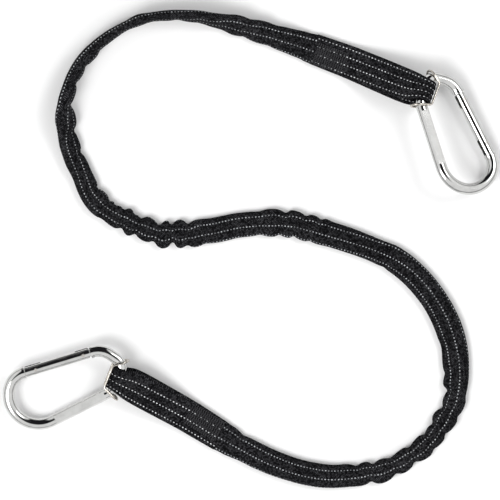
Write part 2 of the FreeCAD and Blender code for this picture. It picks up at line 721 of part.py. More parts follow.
subparts = []
for lying in ENDS:
    end = lying.name
    subparts.append(carabiner_frame(end, lying.placement))
    in_gate = lying.placement.multiply(gate_place)

    def at_gate(x):
        """A place on the gate's own axis, in the object's frame."""
        return in_gate.multiply(Placement(Vector(x, 0, 0), Rotation()))

    subparts.append(gate_tube(end, in_gate))
    subparts.append(headed_pin(f"hinge_rivet_{end}", "rivet_radius", at_gate(pivot_x)))
    subparts.append(headed_pin(f"latch_pin_{end}", "latch_pin_radius", at_gate(cell("latch_from_end"))))
    subparts.append(plunger(end, at_gate(plunger_tip_x)))
    upright = Placement(Vector(), Rotation(Vector(0, 1, 0), 90))
    subparts.append(gate_spring(end, at_gate(spring_end_x).multiply(upright)))
    subparts.append(keeper_wire(end, lying.placement.multiply(keeper_place)))

    route = vectors(ROUTE_A if end == "a" else ROUTE_B[::-1])
    cover_way = route[1] - route[0]
    cover_way.z = 0
    loop, sewn_way, flat_side = end_loop(lying.bar_centre, lying.bar_direction,
                                         lying.block_start, lying.block_end, cover_way)
    rows = stitch_bars(lying.block_start, lying.block_end, sewn_way, flat_side)
    subparts.append(webbing_feature(f"end_loop_{end}", loop.cut(rows)))
    subparts.append(webbing_feature(f"stitching_{end}", Part.makeCompound(rows)))

outer = (cell("cover_width"), cell("cover_height"))
inner = (outer[0] - 2 * cell("cover_wall"), outer[1] - 2 * cell("cover_wall"))
elastic = (cell("elastic_width"), cell("elastic_height"))
quarter_turns = ((*CLIMB, 0, QUARTER), (*LEAN_BACK, QUARTER, 0))
for label, points, turns in (("a", ROUTE_A, ()), ("middle", ROUTE_MIDDLE, ()), ("b", ROUTE_B, quarter_turns)):
    route = vectors(points)
    cover = band(f"cover_{label}", route, *outer, *inner, turns=turns)
    core = band(f"elastic_core_{label}", route, *elastic, turns=turns)
    subparts.append(webbing_feature(f"cover_{label}", cover))
    subparts.append(webbing_feature(f"elastic_core_{label}", core))

for part in subparts:
    part.Label = part.Name
doc.recompute()

faults = [thing.Name for thing in doc.Objects if "Invalid" in thing.State or "Error" in thing.State]
for part in subparts:
    if part.Shape.isNull() or not part.Shape.isValid() or not part.Shape.Solids:
        faults.append(part.Label)
if faults:
    raise SystemExit(f"failed: {faults}")

os.makedirs("parts", exist_ok=True)
for part in subparts:
    part.Shape.exportStep(f"parts/{part.Label}.step")
whole = FreeCAD.BoundBox()
for part in subparts:
    whole.add(part.Shape.optimalBoundingBox(True, False))
print("whole", whole)
for lying in ENDS:
    pivot_at = lying.placement.multVec(pivot)
    opens = lying.placement.Rotation.multVec(Vector(0, 0, -1))
    slide = lying.placement.Rotation.multVec(-gate_way)
    print(f"end {lying.name}: bar {lying.bar_centre}, bar way {lying.bar_direction}, "
          f"pivot {pivot_at}, gate axis {opens}, plunger way {slide}")
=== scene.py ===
"""Looks model of a shock absorbing lanyard: elasticated webbing between two sprung gate carabiners."""
import json
import logging
import math
from dataclasses import dataclass, field
from enum import Enum
from typing import Any

import bpy
import numpy as np
from mathutils import Matrix, Vector, noise


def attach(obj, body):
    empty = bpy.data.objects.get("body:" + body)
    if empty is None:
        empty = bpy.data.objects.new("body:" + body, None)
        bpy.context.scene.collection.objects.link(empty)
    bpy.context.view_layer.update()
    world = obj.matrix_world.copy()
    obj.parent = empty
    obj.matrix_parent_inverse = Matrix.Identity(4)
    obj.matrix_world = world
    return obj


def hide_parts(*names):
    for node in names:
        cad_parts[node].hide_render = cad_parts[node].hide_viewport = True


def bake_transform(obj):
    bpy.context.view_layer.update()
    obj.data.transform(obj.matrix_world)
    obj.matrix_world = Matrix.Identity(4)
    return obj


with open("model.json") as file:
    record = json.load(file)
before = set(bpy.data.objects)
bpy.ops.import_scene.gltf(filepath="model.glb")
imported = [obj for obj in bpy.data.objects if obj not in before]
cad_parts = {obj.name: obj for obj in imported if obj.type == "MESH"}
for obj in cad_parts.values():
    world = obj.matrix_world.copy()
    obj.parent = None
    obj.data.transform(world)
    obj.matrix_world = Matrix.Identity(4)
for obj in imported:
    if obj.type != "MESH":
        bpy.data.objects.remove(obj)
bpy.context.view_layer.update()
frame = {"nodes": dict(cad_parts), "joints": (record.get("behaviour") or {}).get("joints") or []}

log = logging.getLogger("lanyard")
MM = 0.001
# half the side of an octagon drawn round a circle of radius one
OCTAGON = 0.414


class End(Enum):
    """The lanyard's two ends, by the letter that their parts carry."""

    A = "a"
    B = "b"


class Slot(Enum):
    """The record's material slots."""

    WEBBING = "webbing"
    THREAD = "thread"
    ELASTIC = "elastic"
    BAR = "polished_bar"
    GATE = "polished_gate"
    KEEPER = "keeper_wire"
    PIN = "pin_steel"
    SPRING = "spring_steel"


# ---------------------------------------------------------------- shader maths
class Value:
    """A shader socket that can be written in sums."""

    def __init__(self, graph: "Graph", socket: bpy.types.NodeSocket) -> None:
        """Keep the socket and the graph that it belongs to."""
        self.graph = graph
        self.socket = socket

    def math(self, operation: str, other: Any = None, swapped: bool = False) -> "Value":
        """Add a Math node.

        Args:
            operation: the node's operation.
            other: the second number or value, if the operation takes one.
            swapped: whether this value comes second.

        Returns:
            The node's result.
        """
        inputs: dict[int, Any] = {0: self}
        if other is not None:
            inputs = {0: other, 1: self} if swapped else {0: self, 1: other}
        return self.graph.node("ShaderNodeMath", {"operation": operation}, inputs)

    def __add__(self, other: Any) -> "Value":
        """This plus other."""
        return self.math("ADD", other)

    def __sub__(self, other: Any) -> "Value":
        """This less other."""
        return self.math("SUBTRACT", other)

    def __rsub__(self, other: Any) -> "Value":
        """Other less this."""
        return self.math("SUBTRACT", other, swapped=True)

    def __mul__(self, other: Any) -> "Value":
        """This times other."""
        return self.math("MULTIPLY", other)

    def __truediv__(self, other: Any) -> "Value":
        """This over other."""
        return self.math("DIVIDE", other)

    __radd__ = __add__
    __rmul__ = __mul__

    def ramp(self, low: float, high: float, start: float = 0.0, end: float = 1.0) -> "Value":
        """Move smoothly from start to end as this goes from low to high.

        Args:
            low: where the result is start.
            high: where the result is end.
            start: the result at low and before it.
            end: the result at high and past it.

        Returns:
            The eased value.
        """
        return self.graph.node("ShaderNodeMapRange", {"interpolation_type": "SMOOTHSTEP"},
                               {0: self, 1: low, 2: high, 3: start, 4: end})


class Graph:
    """A material's or a world's nodes."""

    def __init__(self, owner: bpy.types.ID) -> None:
        """Clear the nodes of a new material or world, and fill them afresh."""
        self.owner = owner
        owner.use_nodes = True
        self.tree = owner.node_tree
        self.tree.nodes.clear()

    @classmethod
    def material(cls, name: str) -> "Graph":
        """The nodes of a new material."""
        return cls(bpy.data.materials.new(name))

    def node(self, kind: str, settings: dict[str, Any] | None = None,
             inputs: dict[Any, Any] | None = None, output: Any = 0) -> Value:
        """Add a node.

        Args:
            kind: the node's type.
            settings: its own settings.
            inputs: a number, colour or Value for each socket that isn't left alone.
            output: the socket that is wanted.

        Returns:
            The wanted output.
        """
        made = self.tree.nodes.new(kind)
        for name, value in (settings or {}).items():
            setattr(made, name, value)
        for key, value in (inputs or {}).items():
            self.feed(made.inputs[key], value)
        return Value(self, made.outputs[output])

    def feed(self, socket: bpy.types.NodeSocket, value: Any) -> None:
        """Link a Value to a socket, or set a plain number or colour on it."""
        if isinstance(value, Value):
            self.tree.links.new(value.socket, socket)
        else:
            socket.default_value = value

    def coordinates(self, output: str) -> Value:
        """The coordinates of the named kind."""
        return self.node("ShaderNodeTexCoord", output=output)

    def split(self, vector: Value) -> tuple[Value, Value, Value]:
        """The three parts of a vector."""
        x = self.node("ShaderNodeSeparateXYZ", inputs={0: vector})
        outputs = x.socket.node.outputs
        return x, Value(self, outputs[1]), Value(self, outputs[2])

    def noise(self, where: Value, scale: float, detail: float = 2.0) -> Value:
        """A noise pattern's strength, from 0 to 1."""
        return self.node("ShaderNodeTexNoise", inputs={"Vector": where, "Scale": scale, "Detail": detail})

    def mix(self, share: Value, low: Any, high: Any) -> Value:
        """The colour that is share of the way from low to high."""
        made = self.node("ShaderNodeMix", {"data_type": "RGBA"}, {0: share}, output=2)
        node = made.socket.node
        self.feed(node.inputs[6], low)
        self.feed(node.inputs[7], high)
        return made

    def bump(self, height: Value, depth: float, strength: float = 1.0) -> Value:
        """A normal that makes height look depth metres deep."""
        return self.node("ShaderNodeBump", inputs={"Height": height, "Distance": depth, "Strength": strength})

    def finish(self, sockets: dict[str, Any]) -> bpy.types.Material:
        """Close the material with a Principled shader.

        Args:
            sockets: a number, colour or Value for each of its sockets.

        Returns:
            The material.
        """
        shader = self.node("ShaderNodeBsdfPrincipled", inputs=sockets)
        made = self.tree.nodes.new("ShaderNodeOutputMaterial")
        self.tree.links.new(shader.socket, made.inputs["Surface"])
        return self.owner


def rgb(red: float, green: float, blue: float) -> tuple[float, float, float, float]:
    """A solid colour."""
    return (red, green, blue, 1.0)


# ---------------------------------------------------------------- finishes
@dataclass(frozen=True)
class WovenPolyester:
    """Black webbing with rows of reflective yarn floats; its UV map counts dots along and rows across."""

    name: str = "black_webbing"
    dot_pitch: float = 1.95 * MM
    row_pitch: float = 6.1 * MM
    dot_length: float = 0.46 * MM
    dot_width: float = 0.40 * MM
    yarn_pitch: float = 1.1 * MM
    yarn_power: float = 1.3
    wear_scale: float = 90.0
    shine_scale: float = 420.0
    # scale of the painted sparkle: bright specks painted into the yarn's colour in place of the glints of its fibres
    sparkle_scale: float = 900.0
    fuzz_scale: float = 2600.0
    relief: float = 0.25 * MM
    dark: tuple[float, ...] = rgb(0.0010, 0.0010, 0.0014)
    light: tuple[float, ...] = rgb(0.080, 0.080, 0.087)
    silver: tuple[float, ...] = rgb(0.90, 0.92, 0.94)

    def make(self) -> bpy.types.Material:
        """The webbing's material."""
        g = Graph.material(self.name)
        along, across, _ = g.split(g.coordinates("UV"))
        along_m = along * self.dot_pitch
        across_m = across * self.row_pitch
        first = ((along_m + across_m) / self.yarn_pitch * math.pi).math("SINE")
        second = ((along_m - across_m) / self.yarn_pitch * math.pi).math("SINE")
        yarn = (first * second).math("ABSOLUTE").math("POWER", self.yarn_power)
        place = g.coordinates("Object")
        wear = g.noise(place, self.wear_scale, 3.0)
        fuzz = g.noise(place, self.fuzz_scale, 1.0)
        # painted sparkle: random specks, up to 1.8 times as bright, painted into the yarn's colour for the glints of
        # its fibres
        painted_sparkle = g.noise(place, self.sparkle_scale, 1.0)
        dot_along = (along.math("FRACT") - 0.5) * (self.dot_pitch / self.dot_length)
        dot_across = ((across + 0.5).math("FRACT") - 0.5) * (self.row_pitch / self.dot_width)
        reach = (dot_along * dot_along + dot_across * dot_across).math("SQRT")
        dot = reach.ramp(0.75, 1.05, 1.0, 0.0)
        shine = g.noise(place, self.shine_scale, 1.0).ramp(0.34, 0.66, 0.30, 1.0)
        # the yarn's colour, darkened at random by wear and fibre fuzz, and brightened in specks by the painted sparkle
        wear_fuzz_and_sparkle = wear.ramp(0.3, 0.7, 0.5, 1.0) * fuzz.ramp(0.3, 0.7, 0.5, 1.0) * painted_sparkle.ramp(0.38, 0.66, 0.12, 1.8)
        cloth = g.mix(yarn * wear_fuzz_and_sparkle, self.dark, self.light)
        height = yarn * 0.55 + dot * 0.5 + fuzz * 0.12
        return g.finish({
            "Base Color": g.mix(dot * shine, cloth, self.silver),
            "Roughness": 0.78 - dot * 0.42 + wear * 0.1,
            "Specular IOR Level": 0.04,
            "Normal": g.bump(height, self.relief, 0.7),
        })


@dataclass(frozen=True)
class PolishedMetal:
    """Plated or polished metal with faint handling marks."""

    name: str
    colour: tuple[float, ...]
    dull: tuple[float, ...]
    roughness: float = 0.06
    marks: float = 0.07
    grain: float = 0.012 * MM

    def make(self) -> bpy.types.Material:
        """The metal's material."""
        g = Graph.material(self.name)
        place = g.coordinates("Object")
        cloud = g.noise(place, 160.0, 3.0)
        fine = g.noise(place, 1900.0, 2.0)
        smudge = cloud.ramp(0.35, 0.75)
        return g.finish({
            "Base Color": g.mix(smudge, self.colour, self.dull),
            "Metallic": 1.0,
            "Roughness": smudge * self.marks + fine * (self.marks * 0.5) + self.roughness,
            "Normal": g.bump(fine * 0.5 + cloud * 0.5, self.grain, 0.5),
        })


@dataclass(frozen=True)
class SewingThread:
    """Black bonded thread, twisted."""

    name: str = "black_thread"
    colour: tuple[float, ...] = rgb(0.004, 0.004, 0.005)
    light: tuple[float, ...] = rgb(0.040, 0.040, 0.045)

    def make(self) -> bpy.types.Material:
        """The thread's material."""
        g = Graph.material(self.name)
        place = g.coordinates("Object")
        strand = g.node("ShaderNodeTexWave", {"bands_direction": "DIAGONAL"},
                        {"Vector": place, "Scale": 900.0, "Distortion": 1.5}, output="Fac")
        return g.finish({
            "Base Color": g.mix(strand, self.colour, self.light),
            "Roughness": 0.42 + strand * 0.2,
            "Normal": g.bump(strand, 0.1 * MM, 0.7),
        })


@dataclass(frozen=True)
class CoveredRubber:
    """The elastic inside: rubber strands in a knitted sleeve."""

    name: str = "elastic_strands"
    dark: tuple[float, ...] = rgb(0.020, 0.020, 0.022)
    light: tuple[float, ...] = rgb(0.075, 0.073, 0.070)

    def make(self) -> bpy.types.Material:
        """The elastic's material."""
        g = Graph.material(self.name)
        along, across, _ = g.split(g.coordinates("UV"))
        rib = (across * (2 * math.pi)).math("SINE") * 0.5 + 0.5
        knit = (along * (2 * math.pi)).math("SINE") * 0.5 + 0.5
        return g.finish({
            "Base Color": g.mix(rib * knit, self.dark, self.light),
            "Roughness": 0.85 - rib * 0.2,
            "Normal": g.bump(rib * 0.8 + knit * 0.2, 0.4 * MM, 0.8),
        })


@dataclass(frozen=True)
class PaleFloor:
    """The plain pale ground."""

    name: str = "pale_floor"
    colour: tuple[float, ...] = rgb(0.98, 0.98, 0.98)

    def make(self) -> bpy.types.Material:
        """The ground's material."""
        g = Graph.material(self.name)
        return g.finish({"Base Color": self.colour, "Roughness": 0.9, "Specular IOR Level": 0.1})


# ---------------------------------------------------------------- webbing
def read_line(name: str, points: list[Vector], resolution: int) -> np.ndarray:
    """Lay a smooth spline on given points and read where it runs.

    Args:
        name: the spline's name.
        points: its control points, in metres.
        resolution: how many points are read for each control point.

    Returns:
        The points on it, one row each.
    """
    curve = bpy.data.curves.new(name, "CURVE")
    curve.dimensions = "3D"
    curve.resolution_u = resolution
    spline = curve.splines.new("NURBS")
    spline.points.add(len(points) - 1)
    for knot, point in zip(spline.points, points):
        knot.co = (*point, 1.0)
    spline.order_u = 3
    spline.use_endpoint_u = True
    holder = bpy.data.objects.new(name, curve)
    bpy.context.scene.collection.objects.link(holder)
    line = bpy.data.meshes.new_from_object(holder)
    read = np.array([v.co for v in line.vertices], float)
    bpy.data.objects.remove(holder)
    bpy.data.curves.remove(curve)
    bpy.data.meshes.remove(line)
    return read


def travelled(points: np.ndarray) -> np.ndarray:
    """The distance from the first point to each point, along the line."""
    steps = np.linalg.norm(np.diff(points, axis=0), axis=1)
    return np.concatenate([[0.0], np.cumsum(steps)])


def spaced(points: np.ndarray, step: float) -> np.ndarray:
    """The same line, with a point every step metres."""
    far = travelled(points)
    places = np.linspace(0.0, far[-1], max(2, round(far[-1] / step) + 1))
    return np.stack([np.interp(places, far, points[:, axis]) for axis in range(3)], axis=1)


def unit(vectors: np.ndarray) -> np.ndarray:
    """Each row made one long."""
    return vectors / np.linalg.norm(vectors, axis=-1, keepdims=True)


def eased(share: np.ndarray) -> np.ndarray:
    """A share from 0 to 1 that starts and stops gently."""
    return share * share * (3 - 2 * share)


def softened(values: np.ndarray, reach: int) -> np.ndarray:
    """A running average over reach stations each way."""
    padded = np.pad(values, reach, mode="edge")
    kernel = np.ones(2 * reach + 1) / (2 * reach + 1)
    return np.convolve(padded, kernel, mode="valid")


@dataclass
class Section:
    """The shape across a flat band; squareness 2 is an ellipse and more is flatter."""

    around: int
    squareness: float

    def ring(self) -> tuple[np.ndarray, np.ndarray]:
        """The section's points, from the middle of its under side by its left edge.

        Returns:
            How far each point is to the left, and how far up, both from -1 to 1.
        """
        turn = -math.pi / 2 + np.arange(self.around) * 2 * math.pi / self.around
        side = np.cos(turn)
        rise = np.sign(np.sin(turn)) * np.sqrt(np.clip(1 - np.abs(side) ** self.squareness, 0, 1))
        return side, rise


@dataclass
class Band:
    """A closed band through stations: where each is, and which way is left and up there.

    At each station and point, side and rise are how far to the left and up it is. The counts are the dots passed
    along the run at each station, and the rows passed round the band at each point.
    """

    name: str
    centres: np.ndarray
    left: np.ndarray
    up: np.ndarray
    side: np.ndarray
    rise: np.ndarray
    counts: tuple[np.ndarray, np.ndarray]

    def build(self, finish: bpy.types.Material) -> bpy.types.Object:
        """Make the band's mesh, closed at both ends, with its UV map.

        Args:
            finish: the band's material.

        Returns:
            The band.
        """
        stations, around = self.side.shape
        co = (self.centres[:, None, :] + self.left[:, None, :] * self.side[..., None]
              + self.up[:, None, :] * self.rise[..., None])
        vertices = [tuple(v) for v in co.reshape(-1, 3)]
        faces = []
        uv = []
        u, v = self.counts
        for i in range(stations - 1):
            for j in range(around):
                k = (j + 1) % around
                faces.append((i * around + j, i * around + k, (i + 1) * around + k, (i + 1) * around + j))
                uv.extend(((u[i], v[i, j]), (u[i], v[i, j + 1]), (u[i + 1], v[i + 1, j + 1]), (u[i + 1], v[i + 1, j])))
        for i, order in ((0, 1), (stations - 1, -1)):
            hub = len(vertices)
            vertices.append(tuple(co[i].mean(axis=0)))
            for j in range(around):
                k = (j + 1) % around
                pair = ((i * around + k, v[i, j + 1]), (i * around + j, v[i, j]))[::order]
                faces.append((hub, pair[0][0], pair[1][0]))
                uv.extend(((u[i], v[i, around // 2]), (u[i], pair[0][1]), (u[i], pair[1][1])))
        mesh = bpy.data.meshes.new(self.name)
        mesh.from_pydata(vertices, [], faces)
        layer = mesh.uv_layers.new(name="cloth")
        layer.data.foreach_set("uv", np.array(uv, np.float32).ravel())
        mesh.polygons.foreach_set("use_smooth", [True] * len(mesh.polygons))
        mesh.materials.append(finish)
        mesh.update()
        made = bpy.data.objects.new(self.name, mesh)
        bpy.context.scene.collection.objects.link(made)
        return made


def ring_distance(side: np.ndarray, rise: np.ndarray) -> np.ndarray:
    """The distance round one closed ring to each of its points, and back to the first."""
    ring = np.stack([side, rise], axis=1)
    steps = np.linalg.norm(np.roll(ring, -1, axis=0) - ring, axis=1)
    return np.concatenate([[0.0], np.cumsum(steps)])


@dataclass
class Cover:
    """The tubular cover, gathered over the elastic all the way from one sewn block to the other."""

    route: tuple[tuple[float, float, float], ...] = (
        (-19.2, -111.0, 2.5), (-3.3, -119.9, 2.5), (12.3, -127.4, 2.5), (28.7, -133.0, 2.5),
        (45.5, -136.0, 2.5), (61.0, -134.6, 2.5), (74.5, -132.0, 2.5), (87.5, -128.6, 2.5),
        (98.6, -121.6, 2.5), (108.4, -113.0, 2.5), (115.3, -101.8, 2.5), (121.4, -89.8, 2.5),
        (123.3, -75.0, 2.5), (122.6, -59.2, 2.5), (117.9, -43.2, 2.5), (108.2, -26.6, 2.5),
        (95.1, -12.4, 2.5), (79.6, -2.4, 2.5), (63.6, 4.4, 2.5), (34.8, 13.3, 2.5), (21.0, 16.5, 2.5),
        (-5.6, 15.4, 2.5), (-18.3, 12.2, 2.5), (-31.5, 9.7, 2.5), (-56.5, 9.6, 2.5), (-68.5, 14.2, 2.5),
        (-80.2, 19.4, 2.5), (-90.4, 26.2, 2.5), (-98.0, 36.4, 2.5), (-102.4, 49.4, 2.5),
        (-107.0, 61.0, 2.5), (-110.4, 73.4, 5.0), (-112.2, 86.6, 8.2), (-109.4, 99.8, 8.2),
        (-103.2, 111.8, 8.2), (-94.2, 121.6, 8.2), (-83.0, 130.2, 8.2), (-70.4, 137.0, 8.2),
        (-56.0, 140.7, 8.2), (-40.0, 141.1, 8.2), (-23.4, 138.4, 8.2), (-6.0, 134.2, 6.9),
        (10.0, 129.8, 5.2), (25.0, 125.0, 3.5), (39.3, 120.3, 2.5))
    step: float = 0.9 * MM
    # how far the cover reaches to its left at places along the run, in millimetres: each pinch and each lobe
    left_rim: tuple[tuple[float, float], ...] = (
        (0, 9.1), (6, 8.6), (12, 7.0), (18, 7.6), (60, 7.1), (80, 6.4), (88.5, 3.6), (94, 5.8), (98.5, 2.4),
        (104.5, 5.4), (110, 3.6), (120.5, 6.2), (124, 3.3), (133.5, 6.0), (137, 3.1), (142, 5.2), (146, 2.8),
        (151, 6.2), (157.5, 2.2), (163, 5.0), (169.5, 2.8), (174, 7.0), (180, 5.8), (188, 7.8), (197, 7.2), (205, 8.0),
        (230, 7.5), (257, 7.0), (264, 6.0), (271, 7.0), (302, 7.4), (308, 7.8), (313, 6.6), (316, 8.3), (323.5, 5.8),
        (326.5, 8.4), (333, 6.2), (337.5, 8.1), (345, 6.2), (352, 7.4), (372, 7.4), (380, 6.7), (385, 8.2), (389, 5.8),
        (393.5, 8.6), (397.5, 3.0), (403, 9.2), (408, 4.0), (412, 6.8), (419.5, 3.3), (422.5, 7.3), (427.5, 3.2),
        (432, 6.5), (440.5, 5.6), (447.5, 6.9), (463, 6.2), (477.5, 7.5), (496, 7.4), (512, 8.2), (600, 8.2),
        (620, 8.0), (633, 7.2), (640, 7.7), (647, 6.6), (656, 7.4), (664, 6.8), (670, 7.4), (684, 8.5), (691, 9.1))
    # how far it reaches to its right
    right_rim: tuple[tuple[float, float], ...] = (
        (0, 9.1), (6, 8.8), (20, 7.8), (60, 7.4), (82, 7.6), (90, 8.0), (95.5, 5.6), (101.5, 9.2), (110, 4.6),
        (114.5, 7.4), (122, 4.2), (130.5, 7.8), (134.5, 5.8), (141, 7.4), (144.5, 5.4), (153.5, 8.5), (156.5, 6.6),
        (164, 8.8), (167, 7.8), (176, 8.2), (192, 8.4), (230, 8.4), (262, 8.8), (275, 7.4), (302, 7.8), (306.5, 8.3),
        (309.5, 6.4), (315, 8.4), (318.5, 6.0), (326.5, 8.5), (329.5, 5.2), (337, 8.7), (344, 7.4), (372, 7.8),
        (381, 8.4), (388.5, 4.8), (393, 8.7), (398.5, 4.2), (401.5, 8.0), (406, 2.9), (415, 8.0), (419, 4.4),
        (422, 6.5), (424, 5.2), (427.5, 8.4), (431, 5.0), (434.5, 7.0), (437, 5.2), (440, 6.8), (442.5, 5.0),
        (448, 7.5), (455, 4.7), (459.5, 6.7), (470, 5.8), (480, 3.2), (484, 5.4), (494, 3.8), (500, 7.0), (512, 8.2),
        (600, 8.2), (620, 8.0), (633, 7.0), (640, 7.4), (647, 6.0), (656, 7.2), (664, 6.6), (670, 7.5), (684, 8.1),
        (691, 9.1))
    # how far it swells over the elastic, and under it
    over_rim: tuple[tuple[float, float], ...] = (
        (0, 1.75), (6, 2.1), (20, 2.5), (82, 2.7), (100, 3.5), (150, 3.6), (168, 3.0), (192, 2.6), (302, 2.6),
        (320, 3.1), (337, 3.1), (352, 2.6), (372, 2.7), (386, 3.3), (405, 3.7), (436, 3.5), (450, 3.1), (475, 3.1),
        (494, 3.2), (500, 5.6), (510, 2.6), (519.5, 5.6), (525.5, 3.2), (531.5, 5.4), (538, 3.4), (545, 5.2),
        (551, 3.6), (560, 3.8), (572, 3.0), (580, 3.4), (590, 2.9), (600, 3.3), (604, 2.7), (612, 3.4), (619, 2.6),
        (627, 3.2), (633, 2.3), (645, 2.8), (670, 2.5), (684, 2.1), (691, 1.75))
    under_rim: tuple[tuple[float, float], ...] = (
        (0, 1.75), (20, 2.4), (100, 2.9), (150, 2.9), (166, 2.6), (192, 2.5), (302, 2.5), (320, 2.7), (337, 2.7),
        (350, 2.5), (386, 2.8), (436, 2.9), (475, 2.8), (490, 3.4), (502, 4.4), (524, 3.1), (545, 3.3), (560, 3.0),
        (573, 2.5), (582, 3.5), (591, 2.7), (605, 3.0), (620, 3.2), (645, 2.8), (670, 2.4), (691, 1.75))
    # how far the band has rolled onto its edge, in degrees, at places along the run, in millimetres
    rolls: tuple[tuple[float, float], ...] = (
        (0, 0), (90, 0), (125, 9), (160, -4), (190, 0), (458, 0), (484, 20), (500, 52), (513, 85), (520, 90),
        (603, 90), (622, 76), (643, 40), (664, 14), (684, 0), (691, 0))
    # how far the cloth has slipped round the elastic, in millimetres, at places along the run
    slips: tuple[tuple[float, float], ...] = (
        (0, 0.6), (60, -0.6), (100, -1.1), (170, -1.1), (205, 0.5), (240, 0.2), (305, 3.3), (378, 3.5), (394, 5.3),
        (404, 5.6), (430, 5.6), (450, 6.1), (465, 5.4), (483, 6.1), (691, 6.5))
    # the webbing as it is woven, before it is gathered, and its rows of reflective yarn
    woven_half: float = 8 * MM
    woven_rise: float = 2.5 * MM
    rows: int = 6
    first_row: float = 4.2 * MM
    # a rim this steep is a lobe; the power sets how round it is
    lobe_slope: float = 0.13
    lobe_power: float = 0.62
    pull_reach: float = 7 * MM
    section: Section = field(default_factory=lambda: Section(around=60, squareness=3.4))
    line: np.ndarray = field(init=False)
    far: np.ndarray = field(init=False)
    way: np.ndarray = field(init=False)
    centres: np.ndarray = field(init=False)
    toward: np.ndarray = field(init=False)
    above: np.ndarray = field(init=False)
    inner_half: np.ndarray = field(init=False)

    def __post_init__(self) -> None:
        """Read the line that the cover follows."""
        points = [Vector(point) * MM for point in self.route]
        self.line = spaced(read_line("cover_route", points, 14), self.step)
        self.far = travelled(self.line)
        self.way = unit(np.gradient(self.line, axis=0))

    def rows_at(self, table: tuple[tuple[float, float], ...]) -> tuple[np.ndarray, ...]:
        """Find where each station falls in a table of places and sizes.

        Args:
            table: its rows, a place along the run and the size there.

        Returns:
            For each station the size in the row before it, the change to the next row, the share of the way there,
            and how far apart the two rows are, in metres.
        """
        places = np.array([row[0] for row in table]) * (self.far[-1] / table[-1][0])
        values = np.array([row[1] for row in table], float)
        index = np.clip(np.searchsorted(places, self.far, side="right") - 1, 0, len(places) - 2)
        apart = places[index + 1] - places[index]
        share = np.clip((self.far - places[index]) / apart, 0, 1)
        return values[index], values[index + 1] - values[index], share, apart

    def along_run(self, table: tuple[tuple[float, float], ...]) -> np.ndarray:
        """The size in a table at each station, eased between the rows."""
        before, change, share, _ = self.rows_at(table)
        return before + change * eased(share)

    def along_rim(self, table: tuple[tuple[float, float], ...]) -> np.ndarray:
        """How far the cover reaches at each station, in metres, with round lobes between sharp pinches."""
        before, change, share, apart = self.rows_at(table)
        rising = (1 - (1 - share) ** 2) ** self.lobe_power
        falling = 1 - (1 - share ** 2) ** self.lobe_power
        puffed = np.where(change > 0, rising, falling)
        lobed = np.abs(change) * MM > self.lobe_slope * apart
        return softened((before + change * np.where(lobed, puffed, eased(share))) * MM, 1)

    def tightness(self, reach: np.ndarray) -> np.ndarray:
        """How much of its lobes' size a rim keeps at each station, from 0 to 1."""
        span = round(self.pull_reach / self.step)
        padded = np.pad(reach, span, mode="edge")
        most = np.array([padded[i:i + 2 * span + 1].max() for i in range(len(reach))])
        return reach / softened(most, span)

    def ripple(self, side: np.ndarray, rise: np.ndarray) -> np.ndarray:
        """Small loose waves in the cloth, in metres, for each station and point."""
        made = np.zeros((len(self.far), len(side)))
        for i, far in enumerate(self.far):
            for j, (s, r) in enumerate(zip(side, rise)):
                broad = noise.noise(Vector((far * 95.0, s * 1.3, r * 0.8)))
                narrow = noise.noise(Vector((far * 330.0, s * 1.7 + 9.0, r)))
                made[i, j] = (0.30 * broad + 0.11 * narrow) * MM
        return made

    def frames(self) -> tuple[np.ndarray, np.ndarray]:
        """Which way is left and up for the band at each station, with its roll."""
        level = unit(np.stack([-self.way[:, 1], self.way[:, 0], np.zeros(len(self.way))], axis=1))
        above = unit(np.cross(self.way, level))
        roll = np.radians(self.along_run(self.rolls))[:, None]
        return level * np.cos(roll) + above * np.sin(roll), above * np.cos(roll) - level * np.sin(roll)

    def grounded(self, left: np.ndarray, up: np.ndarray, side: np.ndarray, rise: np.ndarray) -> np.ndarray:
        """The stations' centres, moved up or down so that the band lies on the ground."""
        lowest = (left[:, None, 2] * side + up[:, None, 2] * rise).min(axis=1)
        centres = self.line.copy()
        centres[:, 2] = np.maximum(softened(-lowest, 5), -lowest) + 0.02 * MM
        return centres

    def build(self, finish: bpy.types.Material) -> bpy.types.Object:
        """Make the cover.

        Args:
            finish: its material.

        Returns:
            The cover.
        """
        side, rise = self.section.ring()
        left, right, over, under = (self.along_rim(rim) for rim in
                                    (self.left_rim, self.right_rim, self.over_rim, self.under_rim))
        ripple = self.ripple(side, rise)
        wide = np.where(side > 0, left[:, None], right[:, None]) + ripple * 0.5
        lean = (side[None, :] + 1) / 2
        kept = self.tightness(left)[:, None] * lean + self.tightness(right)[:, None] * (1 - lean)
        puff = np.clip(kept, 0, 1.05)
        thick = np.where(rise > 0, over[:, None] * puff, under[:, None] * (0.6 + 0.4 * puff))
        thick = thick + ripple * np.where(rise > 0, 1.0, 0.25)
        across = side * wide
        through = rise * thick
        self.toward, self.above = self.frames()
        self.centres = self.grounded(self.toward, self.above, across, through)
        self.inner_half = np.minimum(left, right)
        woven = ring_distance(side * self.woven_half, rise * self.woven_rise)
        slip = self.along_run(self.slips)[:, None] * MM
        count = (woven[None, :] - woven[-1] / 2 + self.first_row + slip) / (woven[-1] / self.rows)
        dots = self.far / WovenPolyester().dot_pitch
        band = Band("webbing_cover", self.centres, self.toward, self.above, across, through, (dots, count))
        return band.build(finish)

    def dress(self, finish: bpy.types.Material) -> bpy.types.Object:
        made = self.build(finish)
        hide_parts("cover_a", "cover_middle", "cover_b")
        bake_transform(made)
        return made


